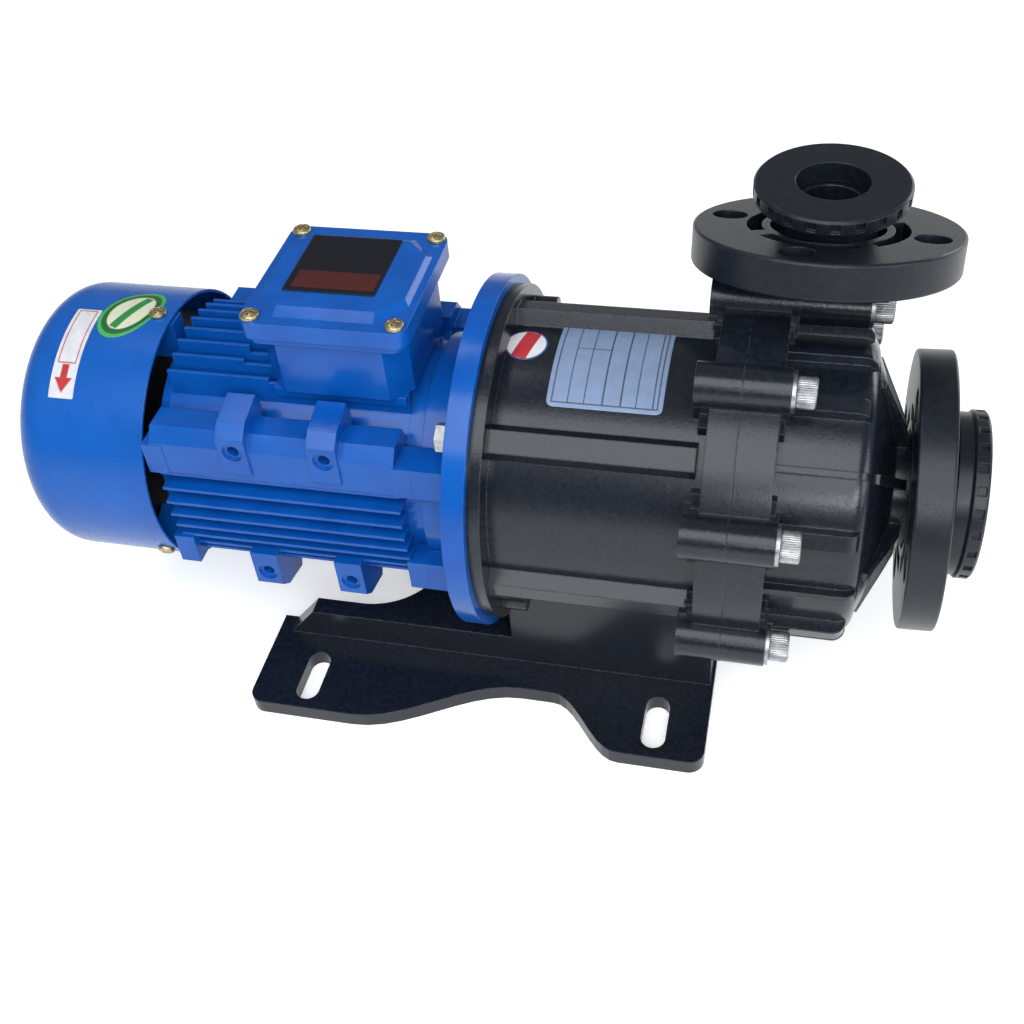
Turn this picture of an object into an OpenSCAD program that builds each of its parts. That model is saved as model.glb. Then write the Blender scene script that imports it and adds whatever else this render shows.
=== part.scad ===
// Magnetic drive pump: flange motor, ribbed bracket on a slotted foot, sealed pump end.
// The shaft lies along X and points to the suction; the discharge points up.
// Origin: middle of the four foot slots, on the underside of the foot.

/* [Foot] */
// Height of the shaft axis above the floor
axis_h = 132; // [130:1:150]
// Distance between foot slots along the shaft
slot_span_x = 210; // [190:1:215]
// Distance between foot slots across the shaft
slot_span_y = 172; // [160:1:176]
// Width of a foot slot
slot_w = 14; // [10:1:16]
// Length of a foot slot
slot_l = 36; // [28:1:38]
// Thickness of the foot plate
plate_t = 10; // [8:1:14]
// Width of the foot plate across the shaft
plate_w = 221; // [215:1:230]
// Width of the plinth and pedestal
plinth_w = 108; // [100:1:112]
// Height of the plinth top above the floor
plinth_top = 31; // [24:1:31]

/* [Motor] */
// Position of the motor's mounting face along the shaft
face_x = 8; // [6:1:10]
// Diameter of the motor flange
flange_d = 200; // [196:1:204]
// Thickness of the motor flange
flange_t = 12; // [10:1:14]
// Bolt circle of the motor flange
flange_pcd = 165; // [163:1:167]
// Diameter over the tips of the cooling fins
fin_d = 149; // [146:1:152]
// Thickness of a cooling fin at its root
fin_t = 3.4; // [2.8:0.2:4]
// Thickness of a fin at its tip
fin_tip_t = 1.8; // [1.4:0.2:2.6]
// Distance between cooling fins
fin_pitch = 9.5; // [9:0.1:10]
// Diameter of the fan cowl
cowl_d = 159; // [156:1:162]
// Sheet thickness of the fan cowl
cowl_t = 1.6; // [1:0.1:2.5]
// Diameter of the shaft end
shaft_d = 19; // [18:0.5:20]
// Width of the terminal box lid
lid_w = 90; // [86:1:94]

/* [Pump] */
// Number of bolts that hold the casing
bolt_count = 8; // [8]
// Bolt circle of the casing
bolt_pcd = 193; // [190:1:196]
// Outer diameter of the bracket barrel
barrel_d = 162; // [158:1:164]
// Number of ribs on the bracket barrel
rib_count = 6; // [4:1:8]
// Diameter of the impeller
impeller_d = 118; // [108:1:122]
// Number of impeller vanes
vane_count = 6; // [5:1:7]
// Inner diameter of the suction neck
suction_bore = 40; // [36:1:41]
// Inner diameter of the discharge neck
discharge_bore = 32; // [28:1:33]
// Sideways offset of the discharge neck
discharge_y = 60.5; // [58:0.5:62]
// Tilt at which the loose discharge flange lies on its neck
flange_tilt = 17; // [14:0.5:17.5]
// Lean at which the loose suction flange hangs on its neck
flange_lean = 2.5; // [0:0.5:3]

/* [Hidden] */
$fn = 96;
eps = 0.01;

// Colours
motor_blue = [0.05, 0.25, 0.62];
moulded_black = [0.12, 0.13, 0.14];
bare_steel = [0.72, 0.73, 0.74];
ceramic_white = [0.93, 0.92, 0.88];
copper = [0.72, 0.42, 0.22];

// Stations along the shaft
frame_x0 = face_x - 180;
frame_x1 = face_x - 33;
fins_x1 = frame_x1 - 9;
cowl_x0 = face_x - 270;
cowl_x1 = face_x - 187;
part_x = face_x + 131;
boss_x0 = part_x - 23;
boss_x1 = part_x + 23;
pad_x0 = boss_x0 + 3;
pad_x1 = boss_x1 - 1.5;
long_boss_x1 = part_x + 58;
drum_x1 = part_x + 66;
neck_x1 = part_x + 106;
suction_face_x = part_x + 124;
discharge_x = part_x + 32.5;

// Radii about the shaft
barrel_r = barrel_d / 2;
barrel_bore_r = barrel_r - 8;
ring_r = 95;
web_r = 94;
rib_r = barrel_r + 8;
boss_r = 11.5;
bolt_r = 5;
register_r = 65;
bore_r = 55;
can_r = 48;
can_wall = 3.5;
spindle_r = 9;
run_gap = 0.03;
fit_gap = 0.05;

// Heights above the shaft axis
box_z0 = 64;
box_z1 = 101;
lid_z0 = box_z1 + 1;
lid_rim_h = 10;
lid_z1 = lid_z0 + 12.8;
discharge_z1 = 146.5;
collar_h = 17;
spigot_drop = 11.5;
discharge_flange_z = 109.7;

cowl_screw_angles = [89, 209, 329];
box_x = face_x - 79.5;
box_w = 80;
screw_x = 38.5;
screw_y = 40;
pad_x = [face_x - 131, face_x - 80];

function bolt_angle(i) = 22.5 + 45 * i;
function smooth(t) = (1 - cos(180 * t)) / 2;

// Placing helpers
module on_axis() translate([0, 0, axis_h]) children();
module spin(a) rotate([-a, 0, 0]) children();
module at_polar(a, r) translate([0, -r * cos(a), r * sin(a)]) children();
module rod(x0, x1, r) translate([x0, 0, 0]) rotate([0, 90, 0]) cylinder(h = x1 - x0, r = r);
module turned() rotate([0, 90, 0]) rotate_extrude() children();
module section_along(x0, x1) translate([x0, 0, 0]) rotate([90, 0, 90]) linear_extrude(x1 - x0) children();
module tube(x0, x1, r_out, r_in) turned() translate([r_in, x0]) square([r_out - r_in, x1 - x0]);
module corners() for (sy = [-1, 1], sz = [-1, 1]) scale_sign(sy, sz) children();
module scale_sign(sy, sz) mirror([0, sy < 0 ? 1 : 0, 0]) mirror([0, 0, sz < 0 ? 1 : 0]) children();

// Bracket: barrel, ribs, bolt bosses, pedestal and slotted foot in one moulding
module slot(x, y) {
    translate([x, y, -1]) linear_extrude(plate_t + 2) {
        square([slot_w, slot_l - slot_w], center = true);
        for (s = [-1, 1]) translate([0, s * (slot_l - slot_w) / 2]) circle(d = slot_w);
    }
}

module foot_outline() {
    waist_y = 75;
    corner_r = 9;
    x0 = -139;
    x1 = 135;
    steps = 10;
    rear_in = [for (i = [0:steps]) [-74 + 97 * i / steps, plate_w / 2 - (plate_w / 2 - waist_y) *
        smooth(i / steps)]];
    front_in = [for (i = [0:steps]) [42 + 44 * i / steps, waist_y + (plate_w / 2 - waist_y) *
        smooth(i / steps)]];
    for (s = [0, 1]) mirror([0, s, 0]) {
        polygon(concat([[x0 + corner_r, 0], [x0 + corner_r, plate_w / 2]], rear_in, front_in,
            [[x1 - corner_r, plate_w / 2], [x1 - corner_r, 0]]));
        translate([x0, 0]) square([corner_r + eps, plate_w / 2 - corner_r]);
        translate([x1 - corner_r - eps, 0]) square([corner_r + eps, plate_w / 2 - corner_r]);
        translate([x0 + corner_r, plate_w / 2 - corner_r]) circle(corner_r);
        translate([x1 - corner_r, plate_w / 2 - corner_r]) circle(corner_r);
    }
}

module plinth() {
    ped_x0 = face_x + 6;
    ped_x1 = 133;
    translate([0, plinth_w / 2, 0]) rotate([90, 0, 0]) linear_extrude(plinth_w)
        polygon([[-132, plate_t - 2], [-113, plinth_top], [ped_x1, plinth_top], [ped_x1, plate_t - 2]]);
    translate([ped_x0, -plinth_w / 2, plate_t - 2]) cube([ped_x1 - ped_x0, plinth_w, axis_h - 58 - plate_t]);
}

module leg_gap() {
    gap_r = 42;
    gap_x = -84;
    translate([gap_x, 0, -1]) cylinder(h = plinth_top + 2, r = gap_r);
    translate([gap_x - 80, -gap_r, -1]) cube([80, 2 * gap_r, plinth_top + 2]);
}

module barrel_rib() {
    section_along(face_x + 1, boss_x0 + 4)
        polygon([[-barrel_r + 3, -10], [-rib_r, -6], [-rib_r, 6], [-barrel_r + 3, 10]]);
}

module boss_plan(a) {
    boss_in = 78;
    rotate(-a) {
        translate([-bolt_pcd / 2, 0]) circle(boss_r);
        translate([-bolt_pcd / 2, -boss_r + 1]) square([bolt_pcd / 2 - boss_in, 2 * boss_r - 2]);
    }
}

module pad_plan(a) {
    pad_r = 86.5;
    pad_half = 18.5;
    pad_in = 74;
    rotate(-a) translate([-pad_r, -pad_half]) square([pad_r - pad_in, 2 * pad_half]);
}

module padded_boss_plan(a) {
    boss_plan(a);
    pad_plan(a);
}

module bracket() {
    bolt_boss_r = 7.5;
    seat_r = 84.2;
    color(moulded_black) difference() {
        union() {
            linear_extrude(plate_t) foot_outline();
            plinth();
            on_axis() {
                rod(face_x, face_x + 7, ring_r);
                rod(face_x, part_x - 1, barrel_r);
                section_along(part_x - 15, part_x) {
                    circle(web_r);
                    for (i = [0:bolt_count - 1]) boss_plan(bolt_angle(i));
                }
                section_along(pad_x0, part_x - 14) for (i = [0:bolt_count - 1])
                    padded_boss_plan(bolt_angle(i));
                section_along(boss_x0, pad_x0 + 1) for (i = [0:bolt_count - 1]) boss_plan(bolt_angle(i));
                for (i = [0:rib_count - 1]) spin(45 + i * 360 / rib_count) barrel_rib();
                for (a = [135, 315]) at_polar(a, flange_pcd / 2) rod(face_x, face_x + 20, bolt_boss_r);
            }
        }
        on_axis() {
            rod(face_x + 7, part_x + 1, barrel_bore_r);
            rod(face_x - 1, face_x + 8, register_r + fit_gap);
            rod(part_x - 8, part_x + 1, seat_r);
            for (i = [0:3]) at_polar(45 + 90 * i, flange_pcd / 2)
                rod(face_x - 1, face_x + 17, bolt_r + fit_gap);
            for (i = [0:bolt_count - 1]) at_polar(bolt_angle(i), bolt_pcd / 2)
                rod(boss_x0 + 3, part_x + 1, bolt_r + fit_gap);
        }
        for (sx = [-1, 1], sy = [-1, 1]) slot(sx * slot_span_x / 2, sy * slot_span_y / 2);
        leg_gap();
        translate([22, -plinth_w / 2 + 8, -1]) cube([103, plinth_w - 16, 45]);
    }
}

// Front casing: volute drum with ribs, suction neck with gussets and tangential discharge neck
module casing_profile() {
    shoulder_r = 9;
    polygon([[0, part_x + 1], [barrel_r, part_x + 1], [barrel_r, drum_x1 - shoulder_r],
        [barrel_r - shoulder_r, drum_x1],
        [62, drum_x1 + 4], [46, drum_x1 + 9], [suction_neck_r, drum_x1 + 13], [suction_neck_r, neck_x1],
        [suction_spigot_r, neck_x1], [suction_spigot_r, suction_face_x - 4], [0, suction_face_x - 4]]);
    translate([barrel_r - shoulder_r, drum_x1 - shoulder_r]) circle(shoulder_r);
}
suction_neck_r = 30.5;
suction_spigot_r = 25;
discharge_neck_r = 25;
discharge_spigot_r = 21;

module long_boss(i) {
    at_polar(bolt_angle(i), bolt_pcd / 2) rod(part_x + 1, long_boss_x1, boss_r - 0.3);
}

module casing_rib(a, tip_r, w, end_x) {
    round_r = 7;
    start_x = part_x + 10;
    foot_r = barrel_r - 14;
    spin(a) translate([0, 0, -w / 2]) linear_extrude(w) {
        translate([start_x, -tip_r]) square([end_x - round_r - start_x, tip_r - foot_r]);
        translate([start_x, -tip_r + round_r]) square([end_x - start_x, tip_r - round_r - foot_r]);
        translate([end_x - round_r, -tip_r + round_r]) circle(round_r);
    }
}

module seat_cut(i) {
    seat_x = i == 2 || i == 3 ? long_boss_x1 : boss_x1;
    at_polar(bolt_angle(i), bolt_pcd / 2) rod(seat_x, seat_x + 2.4, 11);
}

module suction_gusset(a) {
    gusset_t = 5;
    spin(a) translate([0, 0, -gusset_t / 2]) linear_extrude(gusset_t)
        polygon([[drum_x1 - 4, -20], [drum_x1 - 4, -69], [drum_x1 + 3, -69], [drum_x1 + 14, -46],
            [drum_x1 + 18.5, -36], [drum_x1 + 20, -20]]);
}

module discharge_neck() {
    translate([discharge_x, discharge_y, 0]) {
        sphere(discharge_neck_r + 1);
        cylinder(h = discharge_z1 - collar_h, r = discharge_neck_r);
        cylinder(h = discharge_z1 - spigot_drop, r = discharge_spigot_r);
    }
}

module pump_chamber() {
    chamber_r = 66;
    eye_r = 24;
    rod(part_x - 1, part_x + 24, chamber_r);
    rod(part_x + 23, part_x + 48, eye_r);
    rod(part_x + 40, suction_face_x + 1, suction_bore / 2);
    translate([discharge_x - 14, discharge_y, 0]) cylinder(h = 44, r = discharge_bore / 2);
    translate([discharge_x, discharge_y, 42]) cylinder(h = discharge_z1, r = discharge_bore / 2);
}

module spindle_spider() {
    hub_r = 13;
    x0 = part_x + 31;
    x1 = part_x + 47;
    difference() {
        union() {
            rod(x0, x1, hub_r);
            for (i = [0:2]) spin(90 + 120 * i) translate([x0 + 2, -26, -2.5]) cube([x1 - x0 - 4, 17, 5]);
        }
        rod(x0 - 1, x1 - 4, spindle_r + fit_gap);
    }
}

module front_casing() {
    color(moulded_black) on_axis() {
        difference() {
            union() {
                turned() casing_profile();
                section_along(part_x, part_x + 19) {
                    circle(web_r);
                    for (i = [0:bolt_count - 1]) boss_plan(bolt_angle(i));
                }
                section_along(part_x + 18, pad_x1) for (i = [0:bolt_count - 1])
                    padded_boss_plan(bolt_angle(i));
                section_along(pad_x1 - 1, boss_x1) for (i = [0:bolt_count - 1]) boss_plan(bolt_angle(i));
                for (i = [2, 3]) long_boss(i);
                for (i = [0:bolt_count - 1]) casing_rib(bolt_angle(i), rib_r - 1, 9, drum_x1 - 4);
                for (i = [0:7]) casing_rib(45 * i, barrel_r + 5, 3.5, drum_x1 - 2);
                for (i = [0:7]) suction_gusset(45 * i);
                discharge_neck();
            }
            pump_chamber();
            for (i = [0:bolt_count - 1]) seat_cut(i);
            for (i = [0:bolt_count - 1]) at_polar(bolt_angle(i), bolt_pcd / 2)
                rod(part_x - 1, drum_x1 + 20, bolt_r + 0.5);
        }
        spindle_spider();
    }
}

module rear_casing() {
    flange_r = 84;
    end_x = part_x - 87;
    color(moulded_black) on_axis() difference() {
        union() {
            rod(part_x - 8, part_x - 0.2, flange_r);
            rod(end_x, part_x - 8, can_r);
        }
        difference() {
            rod(end_x + 4, part_x, can_r - can_wall);
            rod(end_x, end_x + 10, 14);
        }
        rod(end_x + 4, end_x + 11, spindle_r + fit_gap);
        turned() translate([77.3, part_x - 3.2]) square([3.4, 4]);
    }
}

module casing_o_ring() {
    color(moulded_black) on_axis() turned() translate([79, part_x - 1.6]) circle(r = 1.45, $fn = 48);
}

module casing_bolts() {
    color(bare_steel) on_axis() for (i = [0:bolt_count - 1]) {
        seat_x = (i == 2 || i == 3 ? long_boss_x1 : boss_x1) + 2;
        at_polar(bolt_angle(i), bolt_pcd / 2) difference() {
            union() {
                rod(boss_x0 + 6, seat_x + 1, bolt_r);
                rod(seat_x, seat_x + 10, 8);
            }
            translate([seat_x + 5, 0, 0]) rotate([0, 90, 0]) cylinder(h = 6, d = 9.2, $fn = 6);
        }
    }
}

module casing_washers() {
    color(bare_steel) on_axis() for (i = [0:bolt_count - 1]) {
        seat_x = i == 2 || i == 3 ? long_boss_x1 : boss_x1;
        at_polar(bolt_angle(i), bolt_pcd / 2) tube(seat_x, seat_x + 2, 10.5, bolt_r + 0.25);
    }
}

// Loose flange: outer ring with radial slots, four webs and an inner hub
module loose_flange(r, t, hub_r, hub_wall, window_r, slot_c) {
    slot_len = 19;
    hole_r = 8.75;
    web_half = 6.5;
    rim_r = 1.5;
    difference() {
        rotate_extrude() {
            translate([hub_r, -t / 2]) square([r - rim_r - hub_r, t]);
            translate([hub_r, -t / 2 + rim_r]) square([r - hub_r, t - 2 * rim_r]);
            for (s = [-1, 1]) translate([r - rim_r, s * (t / 2 - rim_r)]) circle(rim_r);
        }
        for (i = [0:3]) rotate([0, 0, 90 * i]) {
            translate([0, 0, -t]) rotate_extrude(angle = 90 - 2 * web_half)
                translate([hub_r + hub_wall, 0]) square([window_r - hub_r - hub_wall, 2 * t]);
            rotate([0, 0, 45 - web_half]) for (s = [-1, 1])
                translate([slot_c + s * (slot_len - 2 * hole_r) / 2, 0, -t]) cylinder(h = 2 * t, r = hole_r);
        }
    }
}

module grip_collar(r, h, hub_r, spigot_r, hole_r, hole_depth) {
    notch_pitch = 11.6;
    notch_w = 4.6;
    notch_h = 4.6;
    band = 8.5;
    edge = 1.2;
    notch_count = round(2 * PI * r / notch_pitch);
    difference() {
        rotate_extrude() polygon([[spigot_r + fit_gap, 0], [hub_r, 0], [hub_r, h - band],
            [r - edge, h - band],
            [r, h - band + edge], [r, h - edge], [r - edge, h], [hole_r, h], [hole_r, h - hole_depth],
            [spigot_r + fit_gap, h - hole_depth]]);
        for (i = [0:notch_count - 1]) rotate([0, 0, i * 360 / notch_count])
            translate([r - 1.6, -notch_w / 2, h - edge - 0.3 - notch_h]) cube([4, notch_w, notch_h]);
    }
}

module suction_flange() {
    color(moulded_black) on_axis() translate([neck_x1 - 9, 0, 0]) rotate([0, 90 - flange_lean, 0])
        rotate([0, 0, 51.5]) loose_flange(75, 18.6, 32.5, 4.5, 46, 57);
}

module suction_collar() {
    color(moulded_black) on_axis() translate([neck_x1 + 2.6, 0, 0]) rotate([0, 90, 0])
        grip_collar(45, suction_face_x - neck_x1 - 2.6, 43.5, suction_spigot_r, suction_bore / 2 + 0.5, 3.5);
}

module discharge_flange() {
    color(moulded_black) on_axis() translate([discharge_x, discharge_y, discharge_flange_z])
        rotate([-flange_tilt, 0, 0]) rotate([0, 0, -54]) loose_flange(69, 19, 29.6, 4, 41.5, 53);
}

module discharge_collar() {
    color(moulded_black) on_axis() translate([discharge_x, discharge_y, discharge_z1 - collar_h])
        grip_collar(39.2, collar_h, 27, discharge_spigot_r, discharge_bore / 2 + 2.5, spigot_drop - 0.5);
}

// Sealed rotor of the pump
module impeller() {
    x0 = part_x + 1;
    vane_h = 11;
    shroud_t = 3.5;
    hub_r = 19;
    eye_r = 23;
    color(moulded_black) on_axis() difference() {
        union() {
            rod(x0, x0 + shroud_t, impeller_d / 2);
            rod(x0, x0 + shroud_t + vane_h, hub_r);
            rod(x0, part_x + 25.5, hub_r - 5);
            tube(x0 + shroud_t + vane_h, x0 + 2 * shroud_t + vane_h, impeller_d / 2, eye_r);
            for (i = [0:vane_count - 1]) spin(i * 360 / vane_count)
                section_along(x0 + shroud_t - 0.5, x0 + shroud_t + vane_h + 0.5)
                difference() {
                    intersection() {
                        translate([-10, 38]) difference() {
                            circle(48);
                            circle(44.5);
                        }
                        circle(impeller_d / 2 - 0.5);
                        translate([0, -60]) square(120);
                    }
                    circle(hub_r - 2);
                }
        }
        rod(x0 - 1, part_x + 27, spindle_r + 2);
    }
}

module driven_magnet() {
    x0 = part_x - 73;
    color(moulded_black) on_axis() turned() polygon([[14, x0], [can_r - can_wall - 1.7, x0],
        [can_r - can_wall - 1.7, x0 + 46],
        [26, x0 + 50], [26, part_x + 1], [14, part_x + 1]]);
}

module spindle_bush() {
    color([0.2, 0.2, 0.21]) on_axis() tube(part_x - 73, part_x - 10, 14, spindle_r + run_gap);
}

module spindle() {
    color(ceramic_white) on_axis() rod(part_x - 83, part_x + 42.9, spindle_r);
}

module mouth_ring() {
    color(ceramic_white) on_axis() tube(part_x + 19, part_x + 22, 29, 23);
}

module front_thrust_ring() {
    color(ceramic_white) on_axis() tube(part_x + 26, part_x + 30.9, 13, spindle_r + fit_gap);
}

module rear_thrust_ring() {
    color(ceramic_white) on_axis() tube(part_x - 76.9, part_x - 73.6, 13.5, spindle_r + fit_gap);
}

module drive_magnet_yoke() {
    x0 = face_x + 10;
    cup_x = face_x + 36;
    color(bare_steel) on_axis() difference() {
        turned() polygon([[shaft_d / 2 + fit_gap, x0], [22, x0], [22, cup_x - 6], [61, cup_x - 1],
            [61, part_x - 33], [56, part_x - 33],
            [56, cup_x + 6], [shaft_d / 2 + fit_gap, cup_x + 3]]);
        translate([x0 - 1, -3.05, 0]) cube([cup_x - x0 + 5, 6.1, 12.6]);
    }
}

module drive_magnets() {
    magnet_count = 8;
    color([0.32, 0.33, 0.35]) on_axis() for (i = [0:magnet_count - 1]) spin(i * 360 / magnet_count)
        translate([part_x - 76, 0, 0]) rotate([0, 90, 0]) rotate_extrude(angle = 40) translate([50, 0])
            square([5.95, 42]);
}

// Motor
module fin(offset) {
    foot = 57;
    root_z = sqrt(pow(foot, 2) - pow(offset, 2));
    tip_z = sqrt(pow(fin_d / 2, 2) - pow(offset, 2));
    translate([offset, 0]) polygon([[-fin_t / 2, root_z], [fin_t / 2, root_z], [fin_tip_t / 2, tip_z],
        [-fin_tip_t / 2, tip_z]]);
}

module frame_section() {
    difference() {
        circle(r = 62);
        circle(r = bore_r);
    }
    for (i = [-4:3]) {
        rotate(0) fin((i + 0.5) * fin_pitch);
        rotate(180) fin((i + 0.5) * fin_pitch);
    }
    for (s = [0, 1], i = [-5:4]) mirror([s, 0]) rotate(90) fin((i + 0.5) * fin_pitch);
    for (s = [0, 1]) mirror([s, 0]) polygon([[50, 25.6], [71.5, 25.6], [71.5, 46.2], [65, 54], [50, 54]]);
}

module foot_pad(x) {
    section_along(x - 8, x + 8) polygon([[48, 31], [73, 31], [73, 55], [66, 61.5], [47, 66], [44, 60]]);
}

module corner_lug(x0, x1) {
    translate([x0, 53, 25]) cube([x1 - x0, 19, 20]);
}

module rear_lug() {
    difference() {
        corner_lug(frame_x0 - 5, frame_x0 + 7);
        rod(frame_x0 - 6, frame_x0 + 0.5, 62.5);
    }
}

module stator_frame() {
    color(motor_blue) on_axis() difference() {
        union() {
            section_along(frame_x0, fins_x1) frame_section();
            tube(fins_x1 - 1, frame_x1, 61.9, bore_r);
            corners() {
                for (x = pad_x) foot_pad(x);
                rear_lug();
                corner_lug(frame_x1 - 11, frame_x1);
            }
            translate([box_x - 37, -37, 58]) cube([74, 74, box_z0 - 58]);
        }
        translate([box_x - 58, -48, box_z0 + 4]) cube([110, 96, 20]);
        translate([box_x - 41, -41, box_z0]) cube([82, 82, 20]);
        translate([box_x, 0, 40]) cylinder(h = 40, r = 20);
        corners() {
            for (x = pad_x) translate([x, 73.5, 46]) rotate([90, 0, 0]) {
                cylinder(h = 17.5, r = 3.3);
                cylinder(h = 2.2, r = 5.6);
            }
            translate([0, 64, 35]) {
                rod(frame_x0 - 6, frame_x0 + 8, 2.6);
                rod(frame_x1 - 12, frame_x1 + 1, 2.6);
            }
        }
    }
}

module endshield_lug(x0, x1) {
    difference() {
        corner_lug(x0, x1);
        translate([0, 64, 35]) rod(x0 - 1, x1 + 1, 2.7);
        rod(x0 - 1, x1 + 1, 60);
    }
}

module front_endshield() {
    rear_face = face_x - flange_t;
    bearing_r = 23.5;
    color(motor_blue) on_axis() difference() {
        union() {
            turned() polygon([[13, rear_face + 4], [13, face_x + 3.5], [register_r, face_x + 3.5],
                [register_r, face_x],
                [flange_d / 2, face_x], [flange_d / 2, rear_face], [67, rear_face], [66, rear_face - 1],
                    [66, frame_x1],
                [bore_r - fit_gap, frame_x1], [bore_r - fit_gap, frame_x1 - 6], [49, frame_x1 - 6],
                    [49, rear_face],
                [29, rear_face], [29, rear_face - 12], [bearing_r, rear_face - 12],
                    [bearing_r, rear_face + 4]]);
            corners() endshield_lug(frame_x1, rear_face - 3);
        }
        for (i = [0:3]) at_polar(45 + 90 * i, flange_pcd / 2) rod(rear_face - 1, face_x + 1, bolt_r + 0.5);
    }
}

module cowl_arm(a) {
    arm_r = cowl_d / 2 - cowl_t - 0.5;
    spin(a) difference() {
        translate([cowl_x1 - 15, -arm_r, -6]) cube([16.5, arm_r - 54, 12]);
        translate([cowl_x1 - 9, -60, 0]) rotate([90, 0, 0]) cylinder(h = 20, r = 2.6);
    }
}

module rear_endshield() {
    x0 = frame_x0 - 10;
    bearing_r = 23.5;
    color(motor_blue) on_axis() {
        turned() polygon([[13, x0], [62, x0 + 4], [62, frame_x0], [bore_r - fit_gap, frame_x0],
            [bore_r - fit_gap, frame_x0 + 6],
            [49, frame_x0 + 6], [49, x0 + 8], [29, x0 + 6], [29, x0 + 20], [bearing_r, x0 + 20],
                [bearing_r, x0 + 4], [13, x0 + 4]]);
        for (a = cowl_screw_angles) cowl_arm(a);
    }
}

module endshield_screws() {
    color(bare_steel) on_axis() corners() translate([0, 64, 35]) {
        rod(frame_x1 - 10, face_x - flange_t - 2.9, 2.5);
        rod(face_x - flange_t - 3, face_x - flange_t - 0.2, 4.5);
    }
}

module flange_bolts() {
    head_h = 8;
    head_x = face_x - flange_t - head_h;
    color(bare_steel) on_axis() for (i = [0:3]) at_polar(45 + 90 * i, flange_pcd / 2) {
        rod(head_x + 1, face_x + 16, bolt_r);
        translate([head_x, 0, 0]) rotate([0, 90, 0]) cylinder(h = head_h, r = 8, $fn = 6);
    }
}

core_x0 = face_x - 152;
core_x1 = face_x - 70;

module stator_core() {
    color([0.45, 0.46, 0.48]) on_axis() tube(core_x0, core_x1, bore_r - fit_gap, 36);
}

module stator_windings() {
    color(copper) on_axis() for (x = [core_x0 - 16, core_x1 + 1]) turned() translate([38, x]) {
        translate([3, 0]) square([8, 15]);
        translate([0, 3]) square([14, 9]);
        for (u = [3, 11], v = [3, 12]) translate([u, v]) circle(3);
    }
}

module rotor_core() {
    color([0.62, 0.63, 0.65]) on_axis() {
        tube(core_x0, core_x1, 35.5, 12);
        for (x = [core_x0 - 8, core_x1]) tube(x, x + 8, 33, 22);
    }
}

module motor_shaft() {
    color(bare_steel) on_axis() difference() {
        turned() polygon([[0, face_x - 232], [8, face_x - 232], [8, face_x - 190], [10, face_x - 190],
            [10, core_x0 - 10], [12, core_x0 - 10],
            [12, core_x1 + 10], [10, core_x1 + 10], [10, face_x], [shaft_d / 2, face_x],
                [shaft_d / 2, face_x + 38.5],
            [shaft_d / 2 - 1.5, face_x + 40], [0, face_x + 40]]);
        translate([face_x + 6, -3, shaft_d / 2 - 3.5]) cube([32, 6, 10]);
    }
}

module shaft_key() {
    color(bare_steel) on_axis() translate([face_x + 6.1, -2.95, shaft_d / 2 - 3.45]) cube([31.8, 5.9, 5.9]);
}

module ball_bearing(x0) {
    w = 14;
    turned() polygon([[10 + run_gap, x0], [13.5, x0], [13.5, x0 + 1], [19.5, x0 + 1], [19.5, x0], [23.45, x0],
        [23.45, x0 + w], [19.5, x0 + w], [19.5, x0 + w - 1], [13.5, x0 + w - 1], [13.5, x0 + w],
            [10 + run_gap, x0 + w]]);
}

module front_bearing() {
    color(bare_steel) on_axis() ball_bearing(face_x - flange_t - 11);
}

module rear_bearing() {
    color(bare_steel) on_axis() ball_bearing(frame_x0 - 4.2);
}

module preload_spring() {
    color(bare_steel) on_axis() tube(frame_x0 - 5.9, frame_x0 - 4.3, 23, 19);
}

module cooling_fan() {
    x0 = face_x - 228;
    x1 = face_x - 200;
    blade_count = 7;
    color([0.16, 0.17, 0.18]) on_axis() difference() {
        union() {
            rod(x0, x1, 15);
            turned() polygon([[14, x1 - 4], [66, x1 - 6], [66, x1 - 4], [14, x1]]);
            for (i = [0:blade_count - 1]) spin(i * 360 / blade_count) translate([x0, -66, -1.25])
                cube([x1 - x0 - 4.5, 53, 2.5]);
        }
        rod(x0 - 1, x1 + 1, 8 + fit_gap);
    }
}

module cowl_shape(r, x0, round_r) {
    translate([0, x0]) square([r - round_r, cowl_x1 - x0]);
    translate([0, x0 + round_r]) square([r, cowl_x1 - x0 - round_r]);
    translate([r - round_r, x0 + round_r]) circle(round_r);
}

module fan_cowl() {
    ring_count = 4;
    spokes = 6;
    round_r = 19;
    color(motor_blue) on_axis() difference() {
        turned() difference() {
            cowl_shape(cowl_d / 2, cowl_x0, round_r);
            cowl_shape(cowl_d / 2 - cowl_t, cowl_x0 + cowl_t, round_r - cowl_t);
            translate([-200, -400]) square([200, 800]);
            translate([0, cowl_x1 - 1]) square([cowl_d / 2 - cowl_t, 10]);
        }
        for (ring = [0:ring_count - 1], i = [0:spokes - 1]) spin(i * 360 / spokes)
            translate([cowl_x0 - 1, 0, 0]) rotate([0, 90, 0])
                rotate_extrude(angle = 360 / spokes - 14 + 2 * ring)
                translate([18 + 10.5 * ring, 0]) square([6, 5]);
        for (a = cowl_screw_angles) at_cowl_screw(a) cylinder(h = 20, r = 2.6, center = true);
    }
}

module at_cowl_screw(a) {
    spin(a) translate([cowl_x1 - 9, -cowl_d / 2, 0]) rotate([90, 0, 0]) children();
}

module cowl_screws() {
    color(bare_steel) on_axis() for (a = cowl_screw_angles) at_cowl_screw(a) {
        translate([0, 0, -8]) cylinder(h = 8.5, r = 2.5);
        intersection() {
            translate([0, 0, -3.5]) sphere(6.5);
            translate([0, 0, 0.2]) cylinder(h = 6, r = 5);
        }
    }
}

// Terminal box
module octagon(w, cut) {
    intersection() {
        square(w, center = true);
        rotate(45) square((w - cut) * sqrt(2), center = true);
    }
}

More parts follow.
